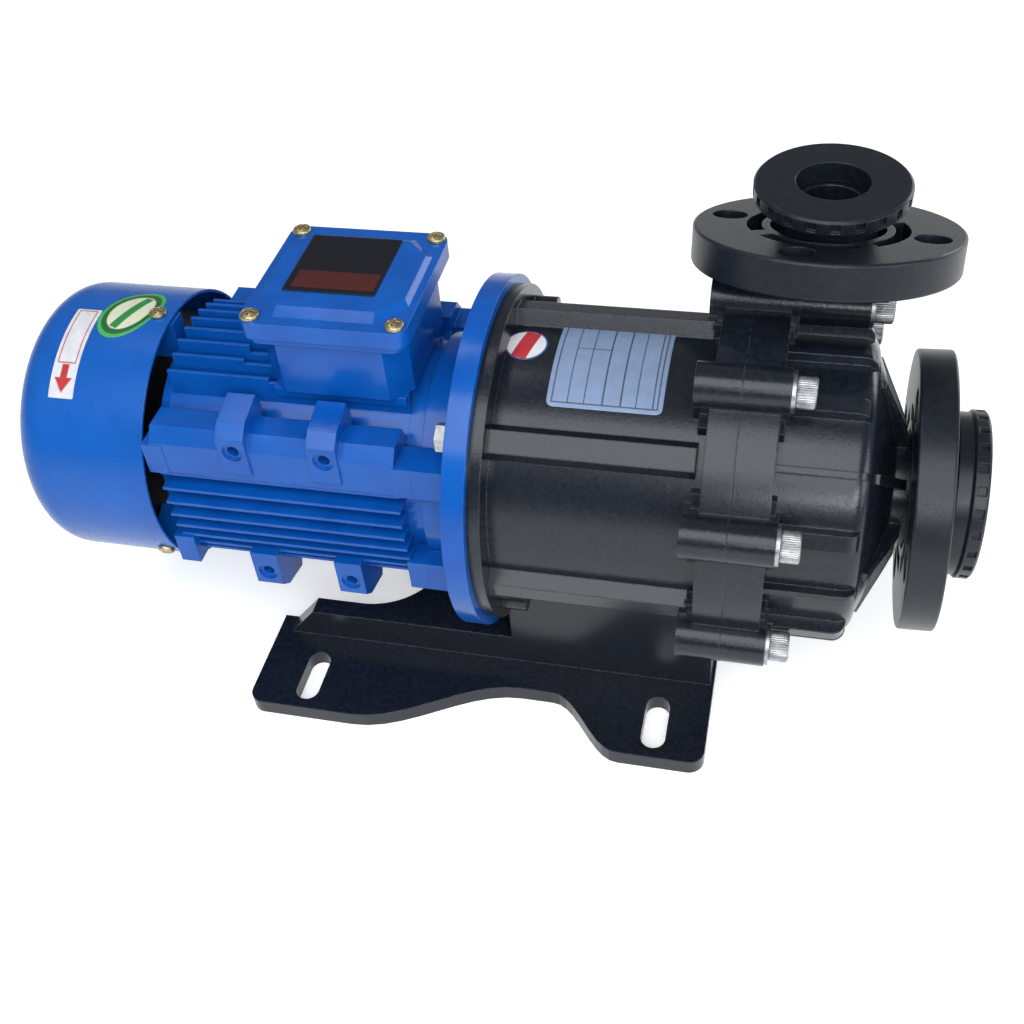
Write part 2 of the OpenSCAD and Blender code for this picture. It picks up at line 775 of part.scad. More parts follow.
module terminal_box() {
    wall = 4;
    color(motor_blue) on_axis() translate([box_x, 0, 0]) difference() {
        union() {
            translate([0, 0, box_z0]) linear_extrude(box_z1 - box_z0) octagon(box_w, 11);
            translate([0, 0, box_z1 - 3]) linear_extrude(3) lid_plan(lid_w - 4);
        }
        translate([0, 0, box_z0 + 4]) linear_extrude(60) octagon(box_w - 2 * wall, 11);
        translate([0, 0, box_z0 - 1]) cylinder(h = 10, r = 18);
        translate([5, box_w / 2 + 1, 86]) rotate([90, 0, 0]) cylinder(h = 10, r = 8.1);
        lid_corners() translate([0, 0, box_z1 - 7]) cylinder(h = 10, r = 2.2);
    }
}

module lid_plan(w) {
    corner_r = 8;
    d = w + 2;
    square([w - 2 * corner_r, d], center = true);
    square([w, d - 2 * corner_r], center = true);
    for (sx = [-1, 1], sy = [-1, 1]) translate([sx * (w / 2 - corner_r), sy * (d / 2 - corner_r)])
        circle(corner_r);
}

module lid_gasket() {
    color([0.1, 0.1, 0.1]) on_axis() translate([box_x, 0, box_z1]) linear_extrude(1) difference() {
        lid_plan(lid_w - 4);
        octagon(box_w - 10, 11);
        lid_corners() circle(2.3);
    }
}

module lid_corners() {
    for (sx = [-1, 1], sy = [-1, 1]) translate([sx * screw_x, sy * screw_y]) children();
}

module cut_rectangle(half_x, half_y, cut_x, cut_y) {
    polygon([for (p = [[1, 1, 0], [1, 1, 1], [-1, 1, 1], [-1, 1, 0], [-1, -1, 0], [-1, -1, 1], [1, -1, 1],
        [1, -1, 0]])
        [p[0] * (half_x - p[2] * cut_x), p[1] * (half_y - (1 - p[2]) * cut_y)]]);
}

module terminal_lid() {
    panel_h = lid_z1 - lid_z0;
    skin = 0.5;
    color(motor_blue) on_axis() translate([box_x, 0, lid_z0]) difference() {
        union() {
            linear_extrude(lid_rim_h) lid_plan(lid_w);
            hull() {
                translate([0, 0, lid_rim_h - 1]) linear_extrude(1) cut_rectangle(41, 39, 14, 16);
                translate([0, 0, panel_h - skin]) linear_extrude(skin) cut_rectangle(38.5, 32.5, 12, 13);
            }
        }
        translate([0, 0, -1]) linear_extrude(7) octagon(box_w - 12, 11);
        lid_corners() translate([0, 0, -1]) cylinder(h = 20, r = 2.3);
    }
}

module lid_screws() {
    color(bare_steel) on_axis() translate([box_x, 0, lid_z0 + lid_rim_h]) lid_corners() {
        translate([0, 0, -15]) cylinder(h = 15.5, r = 2);
        intersection() {
            translate([0, 0, -2.8]) sphere(6.2);
            cylinder(h = 6, r = 5);
        }
    }
}

module terminal_block() {
    color([0.55, 0.28, 0.18]) on_axis() translate([box_x, 0, box_z0 + 4]) {
        translate([-24, -15, 0]) cube([48, 30, 8]);
        for (i = [-1:1], s = [-1, 1]) translate([i * 15, s * 8, 7]) cylinder(h = 11, r = 2.4);
    }
}

module cable_gland() {
    color(moulded_black) on_axis() translate([box_x + 5, box_w / 2, 86]) rotate([-90, 0, 0]) difference() {
        union() {
            translate([0, 0, -8]) cylinder(h = 9, r = 8);
            translate([0, 0, 0.1]) cylinder(h = 8, r = 13, $fn = 6);
            translate([0, 0, 8]) cylinder(h = 16, r = 11);
            translate([0, 0, 24]) cylinder(h = 6, r1 = 11, r2 = 8);
        }
        translate([0, 0, -10]) cylinder(h = 50, r = 5);
    }
}

bracket();
front_casing();
rear_casing();
casing_o_ring();
casing_bolts();
casing_washers();
suction_flange();
suction_collar();
discharge_flange();
discharge_collar();
impeller();
driven_magnet();
spindle_bush();
spindle();
mouth_ring();
front_thrust_ring();
rear_thrust_ring();
drive_magnet_yoke();
drive_magnets();
stator_frame();
front_endshield();
rear_endshield();
endshield_screws();
flange_bolts();
stator_core();
stator_windings();
rotor_core();
motor_shaft();
shaft_key();
front_bearing();
rear_bearing();
preload_spring();
cooling_fan();
fan_cowl();
cowl_screws();
terminal_box();
lid_gasket();
terminal_lid();
lid_screws();
terminal_block();
cable_gland();
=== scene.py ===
import math
import bpy
import numpy as np
from mathutils import Matrix, Vector


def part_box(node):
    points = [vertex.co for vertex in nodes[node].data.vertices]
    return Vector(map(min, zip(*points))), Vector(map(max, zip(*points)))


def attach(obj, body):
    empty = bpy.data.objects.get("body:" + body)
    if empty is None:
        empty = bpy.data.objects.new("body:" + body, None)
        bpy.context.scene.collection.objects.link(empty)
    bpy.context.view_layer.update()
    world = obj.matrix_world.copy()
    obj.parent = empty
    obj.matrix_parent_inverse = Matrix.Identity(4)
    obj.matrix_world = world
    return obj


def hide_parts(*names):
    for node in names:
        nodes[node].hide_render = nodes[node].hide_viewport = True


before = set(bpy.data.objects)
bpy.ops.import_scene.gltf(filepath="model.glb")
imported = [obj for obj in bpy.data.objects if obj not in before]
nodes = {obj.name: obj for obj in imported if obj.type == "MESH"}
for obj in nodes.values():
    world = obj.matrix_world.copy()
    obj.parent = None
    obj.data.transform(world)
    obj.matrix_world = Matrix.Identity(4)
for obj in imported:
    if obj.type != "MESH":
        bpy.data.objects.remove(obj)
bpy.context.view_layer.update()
shaftHeight = 0.132   # metres above the floor
fullTurn = 2 * math.pi
print("frame loaded:", len(nodes), "nodes")


def linear(hexCode):   # sRGB hex to linear, with alpha 1
    part = np.array([int(hexCode[i:i + 2], 16) for i in (1, 3, 5)]) / 255
    part = np.where(part <= 0.04045, part / 12.92, ((part + 0.055) / 1.055) ** 2.4)
    return (*part.tolist(), 1.0)


def addNode(tree, kind, settings=None, links=None):
    # a node, its settings by input or property name, its links by input
    node = tree.nodes.new(kind)
    for key, value in (settings or {}).items():
        if isinstance(key, int) or key in node.inputs:
            node.inputs[key].default_value = value
        else:
            setattr(node, key, value)
    for key, source in (links or {}).items():
        tree.links.new(source, node.inputs[key])
    return node


def perMetre(millimetres):   # noise cells of this size
    return 1000 / millimetres


# what all finishes share: where the mottle changes tone, the size of rubbed patches and where they start and
# are full, how far an edge leans before it is rubbed, and which part of the grain varies the gloss
wear = {"toneStops": (0.32, 0.68), "patchMm": 6, "patch": (0.35, 0.65), "lean": (0.99, 0.8),
        "glossGrain": (0.3, 0.7)}


def makeFinish(spec):
    # two tones mixed by a soft mottle, a paler tone where edges are rubbed,
    # and a fine grain that lifts the surface and varies its gloss
    mat = bpy.data.materials.new(spec["name"])
    mat.use_nodes = True
    tree = mat.node_tree
    tree.nodes.clear()
    place = addNode(tree, "ShaderNodeTexCoord").outputs["Object"]
    mottle = addNode(tree, "ShaderNodeTexNoise",
                     {"Scale": perMetre(spec["mottleMm"]), "Detail": 4.0, "Roughness": 0.6},
                     {"Vector": place})
    tone = addNode(tree, "ShaderNodeValToRGB", None, {"Fac": mottle.outputs["Fac"]})
    for i, shade in enumerate(("dark", "light")):
        tone.color_ramp.elements[i].position = wear["toneStops"][i]
        tone.color_ramp.elements[i].color = linear(spec[shade])

    # an edge is where the rounded normal leans away from the true one; a patchy noise breaks the rubbing up
    rounded = addNode(tree, "ShaderNodeBevel", {"samples": 4, "Radius": spec["edgeMm"] / 1000})
    flat = addNode(tree, "ShaderNodeNewGeometry")
    lean = addNode(tree, "ShaderNodeVectorMath", {"operation": "DOT_PRODUCT"},
                   {0: rounded.outputs["Normal"], 1: flat.outputs["True Normal"]})
    patchy = addNode(tree, "ShaderNodeTexNoise",
                     {"Scale": perMetre(wear["patchMm"]), "Detail": 5.0, "Roughness": 0.7}, {"Vector": place})
    reach = addNode(tree, "ShaderNodeMapRange",
                    {"From Min": wear["patch"][0], "From Max": wear["patch"][1],
                     "To Min": 0.0, "To Max": spec["rub"]}, {"Value": patchy.outputs["Fac"]})
    worn = addNode(tree, "ShaderNodeMapRange",
                   {"From Min": wear["lean"][0], "From Max": wear["lean"][1], "To Min": 0.0},
                   {"Value": lean.outputs["Value"], "To Max": reach.outputs["Result"]})
    colour = addNode(tree, "ShaderNodeMix", {"data_type": "RGBA", 7: linear(spec["edge"])},
                     {0: worn.outputs["Result"], 6: tone.outputs["Color"]})

    grainPlace = place
    if "stretch" in spec:   # drawn or turned finishes run along one way
        drawn = addNode(tree, "ShaderNodeMapping", {"Scale": spec["stretch"]}, {"Vector": place})
        grainPlace = drawn.outputs["Vector"]
    grain = addNode(tree, "ShaderNodeTexNoise",
                    {"Scale": perMetre(spec["grainMm"]), "Detail": 3.0, "Roughness": 0.6},
                    {"Vector": grainPlace})
    gloss = addNode(tree, "ShaderNodeMapRange",
                    {"From Min": wear["glossGrain"][0], "From Max": wear["glossGrain"][1],
                     "To Min": spec["roughness"][0], "To Max": spec["roughness"][1]},
                    {"Value": grain.outputs["Fac"]})
    bump = addNode(tree, "ShaderNodeBump", {"Strength": spec["bump"], "Distance": spec["reliefMm"] / 1000},
                   {"Height": grain.outputs["Fac"], "Normal": rounded.outputs["Normal"]})
    shader = addNode(tree, "ShaderNodeBsdfPrincipled", spec["shader"],
                     {"Base Color": colour.outputs[2], "Roughness": gloss.outputs["Result"],
                      "Normal": bump.outputs["Normal"]})
    addNode(tree, "ShaderNodeOutputMaterial", None, {"Surface": shader.outputs["BSDF"]})
    return mat


# gloss enamel sprayed on die-cast aluminium: deep even blue, orange peel over a slightly rough casting,
# paler at rubbed edges
castEnamel = {"name": "gloss_enamel_on_cast_aluminium", "dark": "#084ea4", "light": "#0b59b1",
              "edge": "#4c86d6", "rub": 0.55, "mottleMm": 22, "grainMm": 2.2, "roughness": (0.14, 0.22),
              "bump": 0.16, "reliefMm": 0.25, "edgeMm": 0.8,
              "shader": {"Metallic": 0.0, "IOR": 1.5, "Specular IOR Level": 0.3}}
# the same enamel on pressed steel sheet: smoother, long soft reflections
sheetEnamel = dict(castEnamel, name="gloss_enamel_on_steel_sheet", dark="#0d54a8", light="#115db6",
                   mottleMm=45, grainMm=3.0, roughness=(0.22, 0.3), bump=0.1, edgeMm=0.9, rub=0.4)
# glass-filled polypropylene, injection moulded in a spark-eroded mould: black, with a faint blue tint in both
# tones that is painted reflection of cool daylight; half gloss, finely pitted
mouldedPolypropylene = {"name": "injection_moulded_polypropylene", "dark": "#12161d", "light": "#1c212a",
                        "edge": "#525c6a", "rub": 0.6, "mottleMm": 3, "grainMm": 1.1,
                        "roughness": (0.16, 0.28), "bump": 0.44, "reliefMm": 0.14, "edgeMm": 1.0,
                        "shader": {"Metallic": 0.0, "IOR": 1.49, "Specular IOR Level": 0.42}}
# the same plastic moulded for the loose rings and collars: a little more matt, with the same painted bluish
# reflection tint
ringPolypropylene = dict(mouldedPolypropylene, name="moulded_polypropylene_rings", dark="#12161c",
                         light="#1a1f27", roughness=(0.28, 0.4), mottleMm=4, grainMm=0.9,
                         shader={"Metallic": 0.0, "IOR": 1.49, "Specular IOR Level": 0.35})
# stainless steel, cold headed: bright with soft drawn streaks
stainlessSteel = {"name": "cold_headed_stainless_steel", "dark": "#8e8f92", "light": "#b4b4b5",
                  "edge": "#d6d5d3", "rub": 0.6, "mottleMm": 5, "grainMm": 0.8, "roughness": (0.3, 0.44),
                  "bump": 0.14, "reliefMm": 0.05, "edgeMm": 0.4, "stretch": (0.25, 1.0, 1.0),
                  "shader": {"Metallic": 1.0}}
# zinc plated steel with a yellow passivate: warm grey, cloudy
zincPlate = dict(stainlessSteel, name="yellow_zinc_plated_steel", dark="#a3946a", light="#c9bb92",
                 edge="#e4dcc4", mottleMm=3, roughness=(0.3, 0.46))
# clear zinc plate: neutral grey, cloudy
clearZinc = dict(zincPlate, name="clear_zinc_plated_steel", dark="#9c9d9c", light="#c2c3c1", edge="#dededb")
# turned carbon steel: fine rings round the shaft, drawn coarser than real so that they show
turnedSteel = dict(stainlessSteel, name="turned_carbon_steel", dark="#8f9196", light="#b1b3b7",
                   edge="#d0d1d4", mottleMm=9, grainMm=1.2, stretch=(6.0, 0.3, 0.3))
# sintered alumina: warm white, dense, slightly glossy
aluminaCeramic = {"name": "sintered_alumina", "dark": "#ddd8ca", "light": "#ece8dc", "edge": "#f4f1e8",
                  "rub": 0.4, "mottleMm": 6, "grainMm": 0.7, "roughness": (0.3, 0.4), "bump": 0.1,
                  "reliefMm": 0.04, "edgeMm": 0.3, "shader": {"Metallic": 0.0, "IOR": 1.76}}
# resin-bonded carbon: dull grey black with a fine grain
bondedCarbon = dict(aluminaCeramic, name="resin_bonded_carbon", dark="#1b1b1c", light="#2a2a2c",
                    edge="#48484a", roughness=(0.5, 0.62), shader={"Metallic": 0.0, "IOR": 1.6})
# nickel plated magnet: grey, shiny, slightly wavy
nickelMagnet = dict(stainlessSteel, name="nickel_plated_magnet", dark="#94938f", light="#a9a7a2",
                    edge="#c8c6c0", mottleMm=12, roughness=(0.18, 0.28))
# stacked lamination steel: sheet edges, drawn at 1.5 mm instead of 0.5 so that they show
laminationStack = dict(stainlessSteel, name="stacked_lamination_steel", dark="#4c4e52", light="#6d6f74",
                       edge="#8b8d92", mottleMm=3, grainMm=1.5, roughness=(0.38, 0.5), bump=0.5, reliefMm=0.2,
                       stretch=(1.0, 0.02, 0.02))
# cast cage aluminium: pale, grainy
castAluminium = dict(stainlessSteel, name="cast_aluminium", dark="#9a9b9d", light="#b9babb", edge="#d5d6d7",
                     mottleMm=4, grainMm=1.0, roughness=(0.36, 0.5))
# varnished copper winding: strands round the ring
copperWinding = dict(stainlessSteel, name="varnished_copper_wire", dark="#8a4a22", light="#b9713b",
                     edge="#d0905a", mottleMm=4, grainMm=1.4, roughness=(0.28, 0.4), bump=0.7,
                     reliefMm=0.5, stretch=(2.2, 0.35, 0.35))
# nitrile rubber: matt black with bloom
nitrileRubber = dict(bondedCarbon, name="nitrile_rubber", dark="#101010", light="#1a1a1a", edge="#2e2e2e",
                     roughness=(0.6, 0.75), shader={"Metallic": 0.0, "IOR": 1.52})
# phenolic moulding: red brown, satin
phenolicMoulding = dict(bondedCarbon, name="moulded_phenolic", dark="#5a2a1c", light="#713724",
                        edge="#8d5640", roughness=(0.4, 0.5), shader={"Metallic": 0.0, "IOR": 1.6})
# nylon moulding: black, slightly waxy
nylonMoulding = dict(mouldedPolypropylene, name="injection_moulded_nylon", dark="#141416", light="#1d1d1f",
                     edge="#3c3c3f", roughness=(0.36, 0.48))

finishOf = {
    "cast": (castEnamel, ["stator_frame", "front_endshield", "rear_endshield", "terminal_box",
                          "terminal_lid"]),
    "sheet": (sheetEnamel, ["fan_cowl"]),
    "moulded": (mouldedPolypropylene, ["bracket", "front_casing", "rear_casing", "impeller",
                                       "driven_magnet"]),
    "rings": (ringPolypropylene, ["suction_flange", "suction_collar", "discharge_flange",
                                  "discharge_collar"]),
    "stainless": (stainlessSteel, ["casing_bolts", "casing_washers"]),
    "yellowZinc": (zincPlate, ["cowl_screws", "lid_screws"]),
    "clearZinc": (clearZinc, ["flange_bolts", "endshield_screws", "preload_spring"]),
    "turned": (turnedSteel, ["motor_shaft", "shaft_key", "drive_magnet_yoke", "front_bearing",
                             "rear_bearing"]),
    "ceramic": (aluminaCeramic, ["spindle", "mouth_ring", "front_thrust_ring", "rear_thrust_ring"]),
    "carbon": (bondedCarbon, ["spindle_bush"]),
    "magnet": (nickelMagnet, ["drive_magnets"]),
    "lamination": (laminationStack, ["stator_core"]),
    "cage": (castAluminium, ["rotor_core"]),
    "copper": (copperWinding, ["stator_windings"]),
    "rubber": (nitrileRubber, ["casing_o_ring", "lid_gasket"]),
    "phenolic": (phenolicMoulding, ["terminal_block"]),
    "nylon": (nylonMoulding, ["cable_gland", "cooling_fan"]),
}
made = {}
for key, (spec, names) in finishOf.items():
    made[key] = makeFinish(spec)
    for name in names:
        nodes[name].data.materials.clear()
        nodes[name].data.materials.append(made[key])
print("finishes on CAD nodes:", len(made))

sharpAngle = 32   # degrees between faces, past which an edge is drawn sharp


def meshFromGrid(name, points, mat, closed=False, poles=(False, False), inks=None):
    # points are grids (copies, rows, columns, 3): four neighbours make a face,
    # a pole fans the first or last row to its middle
    copies, rows, cols = points.shape[:3]
    index = np.arange(copies * rows * cols).reshape(copies, rows, cols)
    wide = np.concatenate([index, index[:, :, :1]], axis=2) if closed else index
    quads = np.stack([wide[:, :-1, :-1], wide[:, :-1, 1:], wide[:, 1:, 1:], wide[:, 1:, :-1]], axis=-1)
    corners, faces = points.reshape(-1, 3), quads.reshape(-1, 4).tolist()
    colours = None if inks is None else inks.reshape(-1, 4)
    for row, order, wanted in ((0, -1, poles[0]), (-1, 1, poles[1])):
        if wanted:
            tips = len(corners) + np.repeat(np.arange(copies)[:, None], wide.shape[2] - 1, axis=1)
            sides = [wide[:, row, :-1], wide[:, row, 1:]][::order]
            faces += np.stack([tips, *sides], axis=-1).reshape(-1, 3).tolist()
            corners = np.concatenate([corners, points[:, row].mean(axis=1)])
            if colours is not None:
                colours = np.concatenate([colours, inks[:, row].mean(axis=1)])
    mesh = bpy.data.meshes.new(name)
    mesh.from_pydata(corners.tolist(), [], faces)
    if colours is not None:
        layer = mesh.attributes.new("inks", "FLOAT_COLOR", "POINT")
        layer.data.foreach_set("color", colours.astype(np.float32).ravel())
    mesh.polygons.foreach_set("use_smooth", np.ones(len(mesh.polygons), dtype=bool))
    mesh.set_sharp_from_angle(angle=math.radians(sharpAngle))
    mesh.update()
    piece = bpy.data.objects.new(name, mesh)
    bpy.context.scene.collection.objects.link(piece)
    mesh.materials.append(mat)
    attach(piece, "pump_body")
    return piece


def placed(along, around, height, origins, axes):
    # a turned shape (along its axis by height, round it by along and around) set at each origin on each axis;
    # the way round starts from the upright, or from the depth where the axis itself is nearly upright
    nearlyUpright = 0.9
    axes = np.asarray(axes, dtype=float)
    helper = np.where(np.abs(axes[:, 2:3]) < nearlyUpright, [[0.0, 0.0, 1.0]], [[0.0, 1.0, 0.0]])
    first = np.cross(helper, axes)
    first /= np.linalg.norm(first, axis=1, keepdims=True)
    second = np.cross(axes, first)
    first, second, axes = (way[:, None, None, :] for way in (first, second, axes))
    return (np.asarray(origins, dtype=float)[:, None, None, :] + along[None, ..., None] * first
            + around[None, ..., None] * second + height[None, ..., None] * axes)


# shares of a screw's radius or height: the dome's start and end, its drop and how late it falls, the top and
# bottom of the head's side, its underside and the shank's tip; the tip and the recess's fades are in metres
screwForm = {"domeRows": 22, "columns": 96, "dome": (0.02, 0.94), "drop": 0.45, "fall": 2.5,
             "side": (0.42, 0.05), "under": 0.97, "tip": 0.6, "tipLength": 0.0006, "sideFade": 0.0002,
             "endFade": 0.0004}


def crossScrew(head, headHeight, shank, depth, recess):
    # rows run from the middle of the head over its dome, down its side and along the shank to a blunt tip;
    # a cross is pressed into the dome, its arms fading at their sides and ends
    form = screwForm
    top, bottom = form["side"]
    dome = np.linspace(*form["dome"], form["domeRows"])
    radius = np.concatenate([dome * head,
                             [head, head, head * form["under"], shank, shank, shank * form["tip"]]])
    height = np.concatenate([headHeight * (1 - form["drop"] * dome ** form["fall"]),
                             [headHeight * top, headHeight * bottom, 0, 0,
                              form["tipLength"] - depth, -depth]])
    r, turn = np.meshgrid(radius, np.linspace(0, fullTurn, form["columns"], endpoint=False), indexing="ij")
    along, around = r * np.cos(turn), r * np.sin(turn)
    nearArm = np.minimum(np.abs(along), np.abs(around))
    inside = np.clip((recess["arm"] - nearArm) / form["sideFade"], 0, 1)
    inside *= np.clip((recess["reach"] - r) / form["endFade"], 0, 1)
    inside[form["domeRows"]:] = 0
    return along, around, height[:, None] - inside * recess["deep"]


bothEnds = (True, True)
lidScrews = {"head": 0.005, "headHeight": 0.0034, "shank": 0.002, "depth": 0.015,
             "recess": {"arm": 0.0006, "reach": 0.0031, "deep": 0.0014}}
low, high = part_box("lid_screws")
seat, reach = high.z - lidScrews["headHeight"], lidScrews["head"]
origins = [(x, y, seat) for x in (low.x + reach, high.x - reach) for y in (low.y + reach, high.y - reach)]
grid = placed(*crossScrew(**lidScrews), origins, [(0, 0, 1)] * len(origins))
piece = meshFromGrid("lidScrews", grid, made["yellowZinc"], True, bothEnds)
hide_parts("lid_screws")

cowlScrews = {"head": 0.005, "headHeight": 0.003, "shank": 0.0025, "depth": 0.008,
              "recess": {"arm": 0.0006, "reach": 0.0031, "deep": 0.0012}}
cowlRing = {"x": -0.188, "radius": 0.0795, "angles": (89, 209, 329)}   # degrees from the near side upwards
turns = np.radians(cowlRing["angles"])
axes = np.stack([turns * 0, -np.cos(turns), np.sin(turns)], axis=-1)
origins = axes * cowlRing["radius"] + [cowlRing["x"], 0, shaftHeight]
grid = placed(*crossScrew(**cowlScrews), origins, axes)
piece = meshFromGrid("cowlScrews", grid, made["yellowZinc"], True, bothEnds)
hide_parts("cowl_screws")


def socketBolt(head, headHeight, shank, depth, socket, socketDepth, knurls, knurlDepth):
    # rows run from the socket floor up its six walls, over the rim, down the knurled side and along the shank
    lip, edge, rim, knurlTop, knurlEnd, tip = 0.0004, 0.0005, 0.0014, 0.0012, 0.0008, 0.001
    floorShare, perKnurl = 0.5, 6   # the floor's inner ring over the socket, and points to a knurl
    turn = np.linspace(0, fullTurn, knurls * perKnurl, endpoint=False)
    six = socket * math.cos(math.pi / 6) / np.cos((turn + math.pi / 6) % (math.pi / 3) - math.pi / 6)
    ridge = head - knurlDepth * np.abs((turn * knurls / math.pi) % 2 - 1)
    plain = np.ones_like(turn)
    radius = np.stack([six * floorShare, six, six, six + lip, plain * (head - rim), plain * (head - edge),
                       ridge, ridge, plain * (head - edge), plain * shank, plain * shank,
                       plain * (shank - tip)])
    levels = [headHeight - socketDepth, headHeight - socketDepth, headHeight - lip, headHeight, headHeight,
              headHeight - edge, headHeight - knurlTop, knurlEnd, 0.0, 0.0, tip - depth, -depth]
    return radius * np.cos(turn), radius * np.sin(turn), np.array(levels)[:, None] * plain


casingBolts = {"head": 0.008, "headHeight": 0.010, "shank": 0.005, "socket": 0.0046, "socketDepth": 0.005,
               "knurls": 44, "knurlDepth": 0.0004}
# two bolts sit further out, on the long bosses; seats and shank ends are places along the shaft
boltRing = {"radius": 0.0965, "seats": {0.164: (0, 1, 4, 5, 6, 7), 0.199: (2, 3)}, "shankEnd": 0.122,
            "firstAngle": 22.5, "step": 45}
shells = []
for seat, which in boltRing["seats"].items():
    turns = np.radians(boltRing["firstAngle"] + boltRing["step"] * np.array(which))
    origins = np.stack([turns * 0 + seat, -boltRing["radius"] * np.cos(turns),
                        shaftHeight + boltRing["radius"] * np.sin(turns)], axis=-1)
    bolt = socketBolt(depth=seat - boltRing["shankEnd"], **casingBolts)
    shells.append(placed(*bolt, origins, [(1, 0, 0)] * len(which)))
grid = np.concatenate(shells)
piece = meshFromGrid("casingBolts", grid, made["stainless"], True, bothEnds)
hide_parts("casing_bolts")
print("screws and bolts made")


def thicken(piece, thickness):   # a sheet grows outwards from what it lies on
    wall = piece.modifiers.new("thickness", "SOLIDIFY")
    wall.thickness = thickness
    wall.offset = 1.0


def block(x, y, middleX, middleY, halfX, halfY, blur=0.25):
    # 1 inside a rectangle in millimetres, fading over its edge
    inX = np.clip((halfX - np.abs(x - middleX)) / blur + 0.5, 0, 1)
    return inX * np.clip((halfY - np.abs(y - middleY)) / blur + 0.5, 0, 1)


def plainInk(shape, hexCode):   # one colour all over
    return np.ones((*shape, 4)) * linear(hexCode)


def layInk(under, cover, hexCode):   # paints one ink over what is under it
    return under + (np.array(linear(hexCode)) - under) * cover[..., None]


dirtLook = {"patchMm": 7, "patch": (0.35, 0.75), "gloss": (0.28, 0.46), "liftMm": 0.2}


def makePrint(name, shaderSettings, rub):
    # printed film: the ink is in the sheet's own colour attribute; dirt greys it in patches and dulls it
    mat = bpy.data.materials.new(name)
    mat.use_nodes = True
    tree = mat.node_tree
    tree.nodes.clear()
    place = addNode(tree, "ShaderNodeTexCoord").outputs["Object"]
    ink = addNode(tree, "ShaderNodeAttribute", {"attribute_name": "inks"})
    dirt = addNode(tree, "ShaderNodeTexNoise",
                   {"Scale": perMetre(dirtLook["patchMm"]), "Detail": 5.0, "Roughness": 0.65},
                   {"Vector": place})
    shade = addNode(tree, "ShaderNodeMapRange",
                    {"From Min": dirtLook["patch"][0], "From Max": dirtLook["patch"][1],
                     "To Min": 1.0, "To Max": 1.0 - rub}, {"Value": dirt.outputs["Fac"]})
    tinted = addNode(tree, "ShaderNodeMix", {"data_type": "RGBA", "blend_type": "MULTIPLY", 0: 1.0},
                     {6: ink.outputs["Color"], 7: shade.outputs["Result"]})
    gloss = addNode(tree, "ShaderNodeMapRange",
                    {"To Min": dirtLook["gloss"][0], "To Max": dirtLook["gloss"][1]},
                    {"Value": dirt.outputs["Fac"]})
    bump = addNode(tree, "ShaderNodeBump", {"Strength": 0.1, "Distance": dirtLook["liftMm"] / 1000},
                   {"Height": dirt.outputs["Fac"]})
    shader = addNode(tree, "ShaderNodeBsdfPrincipled", shaderSettings,
                     {"Base Color": tinted.outputs[2], "Roughness": gloss.outputs["Result"],
                      "Normal": bump.outputs["Normal"]})
    addNode(tree, "ShaderNodeOutputMaterial", None, {"Surface": shader.outputs["BSDF"]})
    return mat


lift = 0.00005   # metres between a label and what it lies on


def cutSheet(spec):
    # a rectangle with round corners in millimetres: each row is as wide as the outline is at its height
    halfX, halfY, corner = spec["half"][0], spec["half"][1], spec["corner"]
    y = np.linspace(-halfY, halfY, int(2 * halfY / spec["step"]) + 1)
    over = np.maximum(np.abs(y) - (halfY - corner), 0)
    width = halfX - corner + np.sqrt(np.maximum(corner ** 2 - over ** 2, 0))
    share = np.linspace(-1, 1, int(2 * halfX / spec["step"]) + 1)
    return share[None, :] * width[:, None], np.repeat(y[:, None], len(share), axis=1)


def curvedLabel(name, spec, px, py, inks, mat, disc=False):
    # px runs straight along the shaft and py round it at one radius, both in millimetres: a patch of a
    # cylinder, with angles from the near side upwards; a disc is closed round its rim and at its middle
    angle = math.radians(spec["angle"]) + py / 1000 / spec["radius"]
    radius = spec["radius"] + lift
    points = np.stack([spec["x"] + px / 1000, -radius * np.cos(angle),
                       shaftHeight + radius * np.sin(angle)], axis=-1)
    piece = meshFromGrid(name, points[None], mat, disc, (disc, False), inks[None])
    thicken(piece, spec["thickness"])


# printed aluminium foil: silver, its base darkened and tinted blue as painted shade and painted reflection,
# with a dark border and ruled columns, their cells left empty
ratingPlate = {"x": 0.07085, "angle": 82.05, "radius": 0.0810, "half": (29.6, 31.3), "corner": 3.5,
               "step": 0.4, "thickness": 0.0004, "border": (27.2, 28.9), "inner": (26.6, 28.3),
               "ruleHalf": 0.3, "columns": (-18.8, -10.4, -1.0, 8.2, 16.0, 24.5), "crossRule": (-9.9, 6.0),
               "crossHalf": 8.9, "base": "#8a9dbd", "line": "#2f3745", "rub": 0.16}
px, py = cutSheet(ratingPlate)
border = block(px, py, 0, 0, *ratingPlate["border"]) - block(px, py, 0, 0, *ratingPlate["inner"])
inks = layInk(plainInk(px.shape, ratingPlate["base"]), border, ratingPlate["line"])
for column in ratingPlate["columns"]:
    rule = block(px, py, column, 0, ratingPlate["ruleHalf"], ratingPlate["inner"][1])
    inks = layInk(inks, rule, ratingPlate["line"])
rule = block(px, py, *ratingPlate["crossRule"], ratingPlate["crossHalf"], ratingPlate["ruleHalf"])
inks = layInk(inks, rule, ratingPlate["line"])
foil = makePrint("printed_aluminium_foil", {"Metallic": 0.2, "IOR": 1.5, "Specular IOR Level": 0.3},
                 ratingPlate["rub"])
curvedLabel("ratingPlate", ratingPlate, px, py, inks, foil)

